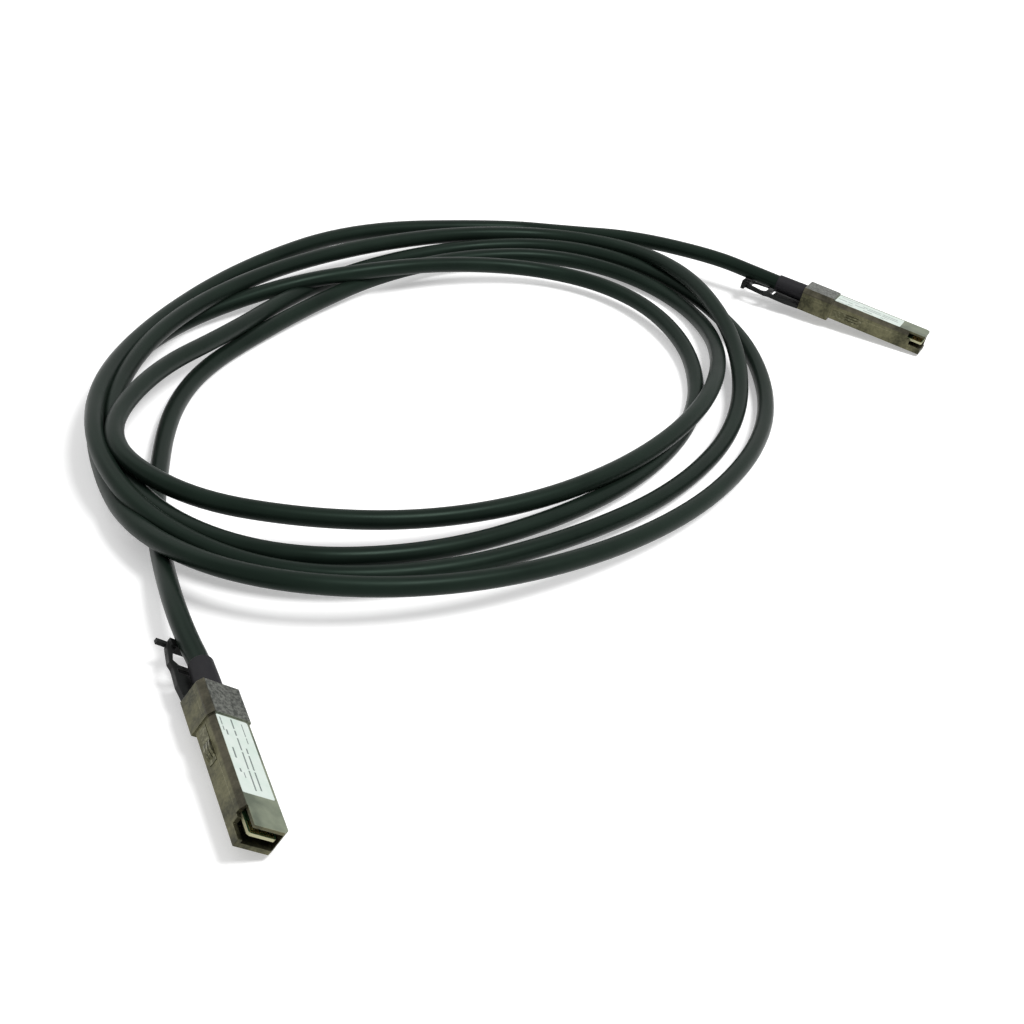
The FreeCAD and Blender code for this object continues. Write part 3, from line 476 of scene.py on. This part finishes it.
# ---------------------------------------------------------------------------------------------
# Paddle card. A two-sided circuit board of glass cloth and epoxy, 1 mm thick, which stands on the
# tray's rails and is clamped under the cover.
# ---------------------------------------------------------------------------------------------
# Solder mask on laminate: a deep glossy green, with traces 0.2 mm wide that run along the card at
# 0.8 mm and show as lighter lines. The sawn edges are bare and pale, with the cloth's grain.
TRACE_PITCH = 0.0008
for end in PLUG_STANDS:
    laminate, tree, place = new_material("solder_masked_laminate_" + end)
    facing = add(tree, "ShaderNodeTexCoord", {}).outputs["Normal"]
    upright = plug_matrix(end).to_3x3() @ Vector((0.0, 0.0, 1.0))
    place = in_plug(tree, place, end)
    across = add(tree, "ShaderNodeSeparateXYZ", {"Vector": place}).outputs[1]
    line = add(tree, "ShaderNodeMath", {
        "operation": "MULTIPLY_ADD", 0: across, 1: 1 / TRACE_PITCH, 2: 0.5,
    })
    line = add(tree, "ShaderNodeMath", {"operation": "PINGPONG", 0: line.outputs[0], 1: 0.5})
    line = add(tree, "ShaderNodeMapRange", {0: line.outputs[0], 1: 0.37, 2: 0.4})
    mask = add(tree, "ShaderNodeMix", {
        "data_type": "RGBA", 0: line.outputs[0], 6: linear("#2f4f33"), 7: linear("#45693f"),
    })
    cloth = add(tree, "ShaderNodeTexNoise", {"Vector": place, "Scale": 4000.0, "Detail": 2.0})
    bare = add(tree, "ShaderNodeMix", {
        "data_type": "RGBA", 0: cloth.outputs["Fac"], 6: linear("#a3a27e"), 7: linear("#c6c4a0"),
    })
    level = add(tree, "ShaderNodeVectorMath", {
        "operation": "DOT_PRODUCT", 0: facing, 1: tuple(upright),
    })
    level = add(tree, "ShaderNodeMath", {"operation": "ABSOLUTE", 0: level.outputs["Value"]})
    is_face = add(tree, "ShaderNodeMapRange", {0: level.outputs[0], 1: 0.4, 2: 0.6})
    colour = add(tree, "ShaderNodeMix", {
        "data_type": "RGBA", 0: is_face.outputs[0], 6: bare.outputs[2], 7: mask.outputs[2],
    })
    dullness = add(tree, "ShaderNodeMapRange", {0: is_face.outputs[0], 3: 0.7, 4: 0.3})
    bump = add(tree, "ShaderNodeBump", {
        "Height": line.outputs[0], "Strength": 0.5, "Distance": 0.00003,
    })
    shader = add(tree, "ShaderNodeBsdfPrincipled", {
        "Base Color": colour.outputs[2], "Roughness": dullness.outputs[0],
        "Normal": bump.outputs["Normal"],
    })
    add(tree, "ShaderNodeOutputMaterial", {"Surface": shader.outputs[0]})
    dress("paddle_card_" + end, laminate)

# ---------------------------------------------------------------------------------------------
# Edge contacts. Ten copper pads on each face of the card's front edge, plated with nickel and
# then with hard gold, which the host's connector wipes.
# ---------------------------------------------------------------------------------------------
# Hard gold: a warm yellow with a satin of 0.2 mm grain and paler wiped patches.
gold, tree, place = new_material("hard_gold_plating")
wiped = add(tree, "ShaderNodeTexNoise", {"Vector": place, "Scale": 900.0, "Detail": 3.0})
grain = add(tree, "ShaderNodeTexNoise", {"Vector": place, "Scale": 5000.0})
colour = add(tree, "ShaderNodeMix", {
    "data_type": "RGBA", 0: wiped.outputs["Fac"], 6: linear("#b98f3c"), 7: linear("#e2c684"),
})
dullness = add(tree, "ShaderNodeMapRange", {
    0: wiped.outputs["Fac"], 1: 0.3, 2: 0.7, 3: 0.22, 4: 0.4,
})
bump = add(tree, "ShaderNodeBump", {
    "Height": grain.outputs["Fac"], "Strength": 0.2, "Distance": 0.00001,
})
shader = add(tree, "ShaderNodeBsdfPrincipled", {
    "Base Color": colour.outputs[2], "Metallic": 1.0, "Roughness": dullness.outputs[0],
    "Normal": bump.outputs["Normal"],
})
add(tree, "ShaderNodeOutputMaterial", {"Surface": shader.outputs[0]})
for end in PLUG_STANDS:
    dress("edge_contacts_" + end, gold)

# ---------------------------------------------------------------------------------------------
# Memory chip. A small outline package, transfer-moulded in black epoxy round a tinned lead frame,
# soldered on the card by its eight legs.
# ---------------------------------------------------------------------------------------------
# Moulded epoxy and tinned legs: the legs stand outside 1.95 mm from the middle line and are bright.
CHIP_HALF_WIDTH = 0.00195
for end in PLUG_STANDS:
    package, tree, place = new_material("moulded_epoxy_and_tinned_legs_" + end)
    place = in_plug(tree, place, end)
    across = add(tree, "ShaderNodeSeparateXYZ", {"Vector": place}).outputs[1]
    outward = add(tree, "ShaderNodeMath", {"operation": "ABSOLUTE", 0: across})
    is_leg = add(tree, "ShaderNodeMath", {
        "operation": "GREATER_THAN", 0: outward.outputs[0], 1: CHIP_HALF_WIDTH + 0.00001,
    })
    grain = add(tree, "ShaderNodeTexNoise", {"Vector": place, "Scale": 4000.0, "Detail": 2.0})
    epoxy = add(tree, "ShaderNodeMix", {
        "data_type": "RGBA", 0: grain.outputs["Fac"], 6: linear("#161718"), 7: linear("#2c2d2f"),
    })
    colour = add(tree, "ShaderNodeMix", {
        "data_type": "RGBA", 0: is_leg.outputs[0], 6: epoxy.outputs[2], 7: linear("#b9bab6"),
    })
    bump = add(tree, "ShaderNodeBump", {
        "Height": grain.outputs["Fac"], "Strength": 0.4, "Distance": 0.00002,
    })
    shader = add(tree, "ShaderNodeBsdfPrincipled", {
        "Base Color": colour.outputs[2], "Metallic": is_leg.outputs[0], "Roughness": 0.45,
        "Normal": bump.outputs["Normal"],
    })
    add(tree, "ShaderNodeOutputMaterial", {"Surface": shader.outputs[0]})
    dress("memory_chip_" + end, package)

# ---------------------------------------------------------------------------------------------
# Wire pairs. The cord's two twinax pairs, stripped to their foamed polyethylene and soldered to
# the card, one pair over it and one under it.
# ---------------------------------------------------------------------------------------------
# Foamed polyethylene: milky white, one wire of each pair tinted blue, with the foam's 0.3 mm grain.
for end in PLUG_STANDS:
    foam, tree, place = new_material("foamed_polyethylene_" + end)
    place = in_plug(tree, place, end)
    across = add(tree, "ShaderNodeSeparateXYZ", {"Vector": place}).outputs[1]
    is_tinted = add(tree, "ShaderNodeMath", {"operation": "GREATER_THAN", 0: across, 1: 0.0})
    cells = add(tree, "ShaderNodeTexNoise", {"Vector": place, "Scale": 3300.0, "Detail": 2.0})
    milky = add(tree, "ShaderNodeMix", {
        "data_type": "RGBA", 0: cells.outputs["Fac"], 6: linear("#bfc0b8"), 7: linear("#d6d6cf"),
    })
    colour = add(tree, "ShaderNodeMix", {
        "data_type": "RGBA", 0: is_tinted.outputs[0], 6: milky.outputs[2], 7: linear("#8fa3b8"),
    })
    bump = add(tree, "ShaderNodeBump", {
        "Height": cells.outputs["Fac"], "Strength": 0.4, "Distance": 0.00003,
    })
    shader = add(tree, "ShaderNodeBsdfPrincipled", {
        "Base Color": colour.outputs[2], "Roughness": 0.55, "Normal": bump.outputs["Normal"],
    })
    add(tree, "ShaderNodeOutputMaterial", {"Surface": shader.outputs[0]})
    dress("wire_pairs_" + end, foam)

# ---------------------------------------------------------------------------------------------
# Crimp ring. Turned from brass rod and squeezed on the cord's braid; its collar sits in a groove
# of the two shells, so a pull on the cord ends there.
# ---------------------------------------------------------------------------------------------
# Turned brass: fine rings 0.15 mm apart from the lathe, tarnished brown over 4 mm patches.
for end in PLUG_STANDS:
    brass, tree, place = new_material("turned_brass_" + end)
    place = in_plug(tree, place, end)
    tarnish = add(tree, "ShaderNodeTexNoise", {"Vector": place, "Scale": 250.0, "Detail": 3.0})
    rings = add(tree, "ShaderNodeTexWave", {
        "wave_type": "BANDS", "bands_direction": "X", "Vector": place, "Scale": 2100.0,
        "Distortion": 0.4,
    })
    colour = add(tree, "ShaderNodeMix", {
        "data_type": "RGBA", 0: tarnish.outputs["Fac"], 6: linear("#8d7440"), 7: linear("#c2a765"),
    })
    bump = add(tree, "ShaderNodeBump", {
        "Height": rings.outputs["Fac"], "Strength": 0.3, "Distance": 0.00002,
    })
    shader = add(tree, "ShaderNodeBsdfPrincipled", {
        "Base Color": colour.outputs[2], "Metallic": 1.0, "Roughness": 0.33,
        "Normal": bump.outputs["Normal"],
    })
    add(tree, "ShaderNodeOutputMaterial", {"Surface": shader.outputs[0]})
    dress("crimp_ring_" + end, brass)

# ---------------------------------------------------------------------------------------------
# Boot. The strain relief, a sleeve of soft black rubber moulded over the end of the cord.
# ---------------------------------------------------------------------------------------------
# Moulded rubber: a dull black with a faint violet cast, a pebbled skin of 0.25 mm and grey dust in
# patches of 5 mm.
rubber, tree, place = new_material("moulded_black_rubber")
dust = add(tree, "ShaderNodeTexNoise", {"Vector": place, "Scale": 200.0, "Detail": 4.0})
pebbles = add(tree, "ShaderNodeTexNoise", {"Vector": place, "Scale": 4000.0, "Detail": 2.0})
colour = add(tree, "ShaderNodeMix", {
    "data_type": "RGBA", 0: dust.outputs["Fac"], 6: linear("#0e0e10"), 7: linear("#1a191d"),
})
dullness = add(tree, "ShaderNodeMapRange", {
    0: dust.outputs["Fac"], 1: 0.3, 2: 0.7, 3: 0.5, 4: 0.68,
})
bump = add(tree, "ShaderNodeBump", {
    "Height": pebbles.outputs["Fac"], "Strength": 0.45, "Distance": 0.00005,
})
shader = add(tree, "ShaderNodeBsdfPrincipled", {
    "Base Color": colour.outputs[2], "Roughness": dullness.outputs[0],
    "Specular IOR Level": 0.18, "Normal": bump.outputs["Normal"],
})
add(tree, "ShaderNodeOutputMaterial", {"Surface": shader.outputs[0]})
for end in PLUG_STANDS:
    dress("boot_" + end, rubber)

# ---------------------------------------------------------------------------------------------
# Latch slide. It is stamped from spring steel and bent; the tab pulls it back along its slot under
# the head, and the wedges of its arms press the cage's latch clear of the boss.
# ---------------------------------------------------------------------------------------------
# Stamped steel: a plain grey with rolling lines 0.1 mm apart along the sheet and darker scuffs.
for end in PLUG_STANDS:
    stamped, tree, place = new_material("stamped_spring_steel_" + end)
    place = in_plug(tree, place, end)
    drawn = add(tree, "ShaderNodeMapping", {"Vector": place, "Scale": (0.04, 1.0, 1.0)})
    lines = add(tree, "ShaderNodeTexNoise", {
        "Vector": drawn.outputs[0], "Scale": 10000.0, "Detail": 2.0,
    })
    scuffs = add(tree, "ShaderNodeTexNoise", {"Vector": place, "Scale": 350.0, "Detail": 3.0})
    colour = add(tree, "ShaderNodeMix", {
        "data_type": "RGBA", 0: scuffs.outputs["Fac"], 6: linear("#5e5e57"), 7: linear("#85857c"),
    })
    dullness = add(tree, "ShaderNodeMapRange", {
        0: lines.outputs["Fac"], 1: 0.3, 2: 0.7, 3: 0.28, 4: 0.48,
    })
    bump = add(tree, "ShaderNodeBump", {
        "Height": lines.outputs["Fac"], "Strength": 0.2, "Distance": 0.00001,
    })
    shader = add(tree, "ShaderNodeBsdfPrincipled", {
        "Base Color": colour.outputs[2], "Metallic": 1.0, "Roughness": dullness.outputs[0],
        "Normal": bump.outputs["Normal"],
    })
    add(tree, "ShaderNodeOutputMaterial", {"Surface": shader.outputs[0]})
    dress("latch_slide_" + end, stamped)

# ---------------------------------------------------------------------------------------------
# Return springs. Two a plug, wound cold from round drawn wire. They lie in the head's two rooms
# between its rear wall and the slide's lugs, and push the slide home.
# ---------------------------------------------------------------------------------------------
SPRING_TURNS = 5.0
SPRING_WIRE_RADIUS = 0.00017
SPRING_RADIUS = 0.00083
SPRING_LENGTH = 0.01022
SPRING_BACK = -0.01266
SPRING_FROM_MIDDLE = 0.0054
SPRING_LIFT = 0.0008

# Drawn wire: bright steel with lengthwise die lines that blur to a satin, browner over 3 mm.
drawn_wire, tree, place = new_material("drawn_spring_wire")
tempering = add(tree, "ShaderNodeTexNoise", {"Vector": place, "Scale": 330.0, "Detail": 3.0})
colour = add(tree, "ShaderNodeMix", {
    "data_type": "RGBA", 0: tempering.outputs["Fac"], 6: linear("#7a756a"), 7: linear("#a9a9a3"),
})
dullness = add(tree, "ShaderNodeMapRange", {
    0: tempering.outputs["Fac"], 1: 0.3, 2: 0.7, 3: 0.24, 4: 0.42,
})
shader = add(tree, "ShaderNodeBsdfPrincipled", {
    "Base Color": colour.outputs[2], "Metallic": 1.0, "Roughness": dullness.outputs[0],
})
add(tree, "ShaderNodeOutputMaterial", {"Surface": shader.outputs[0]})

winding = bpy.data.node_groups.new("wound_spring", "GeometryNodeTree")
winding.interface.new_socket("Spring", in_out="OUTPUT", socket_type="NodeSocketGeometry")
for size_name in ("Turns", "Wire Radius", "Spring Radius", "Length"):
    winding.interface.new_socket(size_name, in_out="INPUT", socket_type="NodeSocketFloat")
sizes = add(winding, "NodeGroupInput", {}).outputs
helix = add(winding, "GeometryNodeCurveSpiral", {
    "Resolution": 24, "Rotations": sizes["Turns"], "Start Radius": sizes["Spring Radius"],
    "End Radius": sizes["Spring Radius"], "Height": sizes["Length"],
})
section = add(winding, "GeometryNodeCurvePrimitiveCircle", {
    "Resolution": 10, "Radius": sizes["Wire Radius"],
})
swept = add(winding, "GeometryNodeCurveToMesh", {
    "Curve": helix.outputs[0], "Profile Curve": section.outputs[0], "Fill Caps": True,
})
real = add(winding, "GeometryNodeRealizeInstances", {"Geometry": swept.outputs[0]})
plated = add(winding, "GeometryNodeSetMaterial", {
    "Geometry": real.outputs[0], "Material": drawn_wire,
})
add(winding, "NodeGroupOutput", {"Spring": plated.outputs[0]})

for end in PLUG_STANDS:
    stands = plug_matrix(end)
    pair = bmesh.new()
    for side in (-1.0, 1.0):
        wound = bpy.data.objects.new("wound", bpy.data.meshes.new("wound"))
        bpy.context.scene.collection.objects.link(wound)
        modifier = wound.modifiers.new("winding", "NODES")
        modifier.node_group = winding
        spring_sizes = {
            "Turns": SPRING_TURNS, "Wire Radius": SPRING_WIRE_RADIUS,
            "Spring Radius": SPRING_RADIUS, "Length": SPRING_LENGTH,
        }
        for socket in winding.interface.items_tree:
            if socket.in_out == "INPUT":
                modifier[socket.identifier] = spring_sizes[socket.name]
        baked = bpy.data.meshes.new_from_object(
            wound.evaluated_get(bpy.context.evaluated_depsgraph_get()))
        bpy.data.objects.remove(wound)
        baked.transform(
            Matrix.Translation((SPRING_BACK, side * SPRING_FROM_MIDDLE, SPRING_LIFT))
            @ Matrix.Rotation(math.pi / 2, 4, "Y")
        )
        pair.from_mesh(baked)
    pair.transform(stands)
    bmesh.ops.recalc_face_normals(pair, faces=pair.faces)
    for face in pair.faces:
        face.smooth = True
    coils = bpy.data.meshes.new("wound_springs_" + end)
    pair.to_mesh(coils)
    pair.free()
    coils.materials.append(drawn_wire)
    wound_springs = bpy.data.objects.new("wound_springs_" + end, coils)
    bpy.context.scene.collection.objects.link(wound_springs)
    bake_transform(wound_springs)
    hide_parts("return_springs_" + end)

# ---------------------------------------------------------------------------------------------
# Pull tab. Moulded in one piece of tough black nylon round the slide's tongue; a finger goes
# through its loop.
# ---------------------------------------------------------------------------------------------
# Moulded nylon: near black with a half gloss, an eroded skin of 0.35 mm and scuffs that are paler
# and duller.
nylon, tree, place = new_material("moulded_black_nylon")
scuffs = add(tree, "ShaderNodeTexNoise", {
    "Vector": place, "Scale": 260.0, "Detail": 4.0, "Roughness": 0.6,
})
eroded = add(tree, "ShaderNodeTexNoise", {"Vector": place, "Scale": 2900.0, "Detail": 3.0})
colour = add(tree, "ShaderNodeMix", {
    "data_type": "RGBA", 0: scuffs.outputs["Fac"], 6: linear("#0b0c0c"), 7: linear("#191b1a"),
})
dullness = add(tree, "ShaderNodeMapRange", {
    0: scuffs.outputs["Fac"], 1: 0.3, 2: 0.7, 3: 0.38, 4: 0.6,
})
rounded = add(tree, "ShaderNodeBevel", {"samples": 6, "Radius": 0.0003})
bump = add(tree, "ShaderNodeBump", {
    "Height": eroded.outputs["Fac"], "Strength": 0.35, "Distance": 0.00005,
    "Normal": rounded.outputs[0],
})
shader = add(tree, "ShaderNodeBsdfPrincipled", {
    "Base Color": colour.outputs[2], "Roughness": dullness.outputs[0],
    "Specular IOR Level": 0.18, "Normal": bump.outputs["Normal"],
})
add(tree, "ShaderNodeOutputMaterial", {"Surface": shader.outputs[0]})
for end in PLUG_STANDS:
    dress("pull_tab_" + end, nylon)

# ---------------------------------------------------------------------------------------------
# Ground springs. A thin strip of copper alloy lies flat on each side of the body, and its arched
# fingers touch the cage. It is plated with nickel like the shells.
# ---------------------------------------------------------------------------------------------
# Nickel-plated strip: nearly the shells' own tone, smoother, with bright rubs of 1 mm.
strip_metal, tree, place = new_material("nickel_plated_copper_strip")
rubs = add(tree, "ShaderNodeTexNoise", {"Vector": place, "Scale": 1000.0, "Detail": 3.0})
shine = add(tree, "ShaderNodeMapRange", {0: rubs.outputs["Fac"], 1: 0.45, 2: 0.7})
colour = add(tree, "ShaderNodeMix", {
    "data_type": "RGBA", 0: shine.outputs[0], 6: linear("#4e4d3b"), 7: linear("#73725d"),
})
dullness = add(tree, "ShaderNodeMapRange", {0: shine.outputs[0], 3: 0.42, 4: 0.28})
shader = add(tree, "ShaderNodeBsdfPrincipled", {
    "Base Color": colour.outputs[2], "Metallic": 1.0, "Roughness": dullness.outputs[0],
})
add(tree, "ShaderNodeOutputMaterial", {"Surface": shader.outputs[0]})
for end in PLUG_STANDS:
    dress("ground_spring_left_" + end, strip_metal)
    dress("ground_spring_right_" + end, strip_metal)

# ---------------------------------------------------------------------------------------------
# Floor, backdrop and light: a pale table, a white surround and two large soft lamps.
# ---------------------------------------------------------------------------------------------
TABLE_REACH = 4.0
LAMPS_AIM = Vector((-0.04, 0.04, 0.0))
LAMPS = {  # where each stands, its width and its power
    "key_lamp": ((0.55, -0.25, 1.3), 0.6, 19.0),
    "fill_lamp": ((-0.9, 0.5, 1.2), 1.2, 4.0),
}


def is_looked_at(tree):
    """One for rays from the camera, straight, off a gloss or through glass, otherwise zero."""
    ray = add(tree, "ShaderNodeLightPath", {})
    seen = add(tree, "ShaderNodeMath", {
        "operation": "MAXIMUM", 0: ray.outputs["Is Camera Ray"], 1: ray.outputs["Is Glossy Ray"],
    })
    return add(tree, "ShaderNodeMath", {
        "operation": "MAXIMUM", 0: seen.outputs[0], 1: ray.outputs["Is Transmission Ray"],
    }).outputs[0]


floor_mesh = bpy.data.meshes.new("floor")
floor_mesh.from_pydata([
    (-TABLE_REACH, -TABLE_REACH, 0.0), (TABLE_REACH, -TABLE_REACH, 0.0),
    (TABLE_REACH, TABLE_REACH, 0.0), (-TABLE_REACH, TABLE_REACH, 0.0),
], [], [(0, 1, 2, 3)])
floor = bpy.data.objects.new("floor", floor_mesh)
bpy.context.scene.collection.objects.link(floor)
# Matt paint: an even pale grey-white, lifted a little so that it shows white.
pale_table, tree, _ = new_material("pale_matt_table")
paint = add(tree, "ShaderNodeBsdfDiffuse", {"Color": (0.8, 0.8, 0.8, 1.0)})
lift = add(tree, "ShaderNodeEmission", {"Strength": 0.35})
lifted = add(tree, "ShaderNodeAddShader", {0: paint.outputs[0], 1: lift.outputs[0]})
surface = add(tree, "ShaderNodeMixShader", {
    0: is_looked_at(tree), 1: paint.outputs[0], 2: lifted.outputs[0],
})
add(tree, "ShaderNodeOutputMaterial", {"Surface": surface.outputs[0]})
floor_mesh.materials.append(pale_table)

world = bpy.data.worlds.new("studio")
world.use_nodes = True
tree = world.node_tree
tree.nodes.clear()
around = add(tree, "ShaderNodeBackground", {"Color": (1.0, 1.0, 1.0, 1.0), "Strength": 0.5})
backdrop = add(tree, "ShaderNodeBackground", {"Color": (1.0, 1.0, 1.0, 1.0), "Strength": 1.0})
surround = add(tree, "ShaderNodeMixShader", {
    0: is_looked_at(tree), 1: around.outputs[0], 2: backdrop.outputs[0],
})
add(tree, "ShaderNodeOutputWorld", {"Surface": surround.outputs[0]})
bpy.context.scene.world = world

for name, (stand, size, power) in LAMPS.items():
    lamp = bpy.data.objects.new(name, bpy.data.lights.new(name, "AREA"))
    lamp.data.shape = "DISK"
    lamp.data.size = size
    lamp.data.energy = power
    lamp.location = stand
    aim = LAMPS_AIM - Vector(stand)
    lamp.rotation_euler = aim.to_track_quat("-Z", "Y").to_euler()
    bpy.context.scene.collection.objects.link(lamp)

bpy.context.scene.view_settings.view_transform = "Standard"
